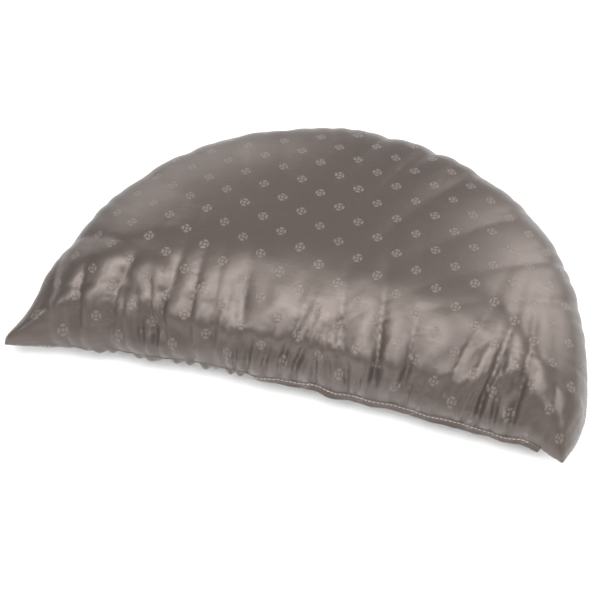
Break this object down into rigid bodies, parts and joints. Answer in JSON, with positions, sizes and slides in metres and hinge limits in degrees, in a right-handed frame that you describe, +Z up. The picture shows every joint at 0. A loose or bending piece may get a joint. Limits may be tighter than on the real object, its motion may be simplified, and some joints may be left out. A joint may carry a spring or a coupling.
{
  "type": "face cradle cushion",
  "caption": "Half-moon stuffed face cushion: satin cover with a straight front seam closed by a lapped zip, round rear seam, pointed corners, inner case and fibre filling.",
  "frame": {"origin": "bottom centre of the bounding box, on the surface the cushion rests on", "axes": "+X along the straight edge from the left point to the right point, +Y from the straight edge to the round edge, +Z up"},
  "size_m": [0.5042, 0.285, 0.115],
  "materials": {
    "satin_jacquard": "satin",
    "sewing_thread": "matt",
    "zip_tape": "matt woven",
    "nylon_coil": "semi-matt",
    "zip_metal": "lacquered, semi-gloss",
    "case_cotton": "matt",
    "polyester_fibre": "matt, fluffy"
  },
  "bodies": {
    "cushion": {"cover_top_panel": "satin_jacquard", "cover_bottom_panel": "satin_jacquard", "rear_seam_thread": "sewing_thread", "zip_lap": "satin_jacquard", "lap_topstitch": "sewing_thread", "zip_tape_upper": "zip_tape", "zip_tape_lower": "zip_tape", "zip_coil_upper": "nylon_coil", "zip_coil_lower": "nylon_coil", "zip_stop_left": "zip_metal", "zip_stop_right": "zip_metal", "inner_case_top": "case_cotton", "inner_case_bottom": "case_cotton", "inner_case_seam_thread": "sewing_thread", "fibre_filling": "polyester_fibre"},
    "zip_slider": {"zip_slider": "zip_metal"},
    "zip_pull_tab": {"zip_pull_tab": "zip_metal"}
  },
  "joints": [
    {"name": "zip_slide", "type": "slide", "parent": "cushion", "child": "zip_slider", "axis": [1, 0, 0], "range_m": [-0.365, 0]},
    {"name": "pull_tab_hinge", "type": "hinge", "parent": "zip_slider", "child": "zip_pull_tab", "pos_m": [0.1825, -0.11495, 0.037], "axis": [0, 0, -1], "range_deg": [0, 14]}
  ]
}
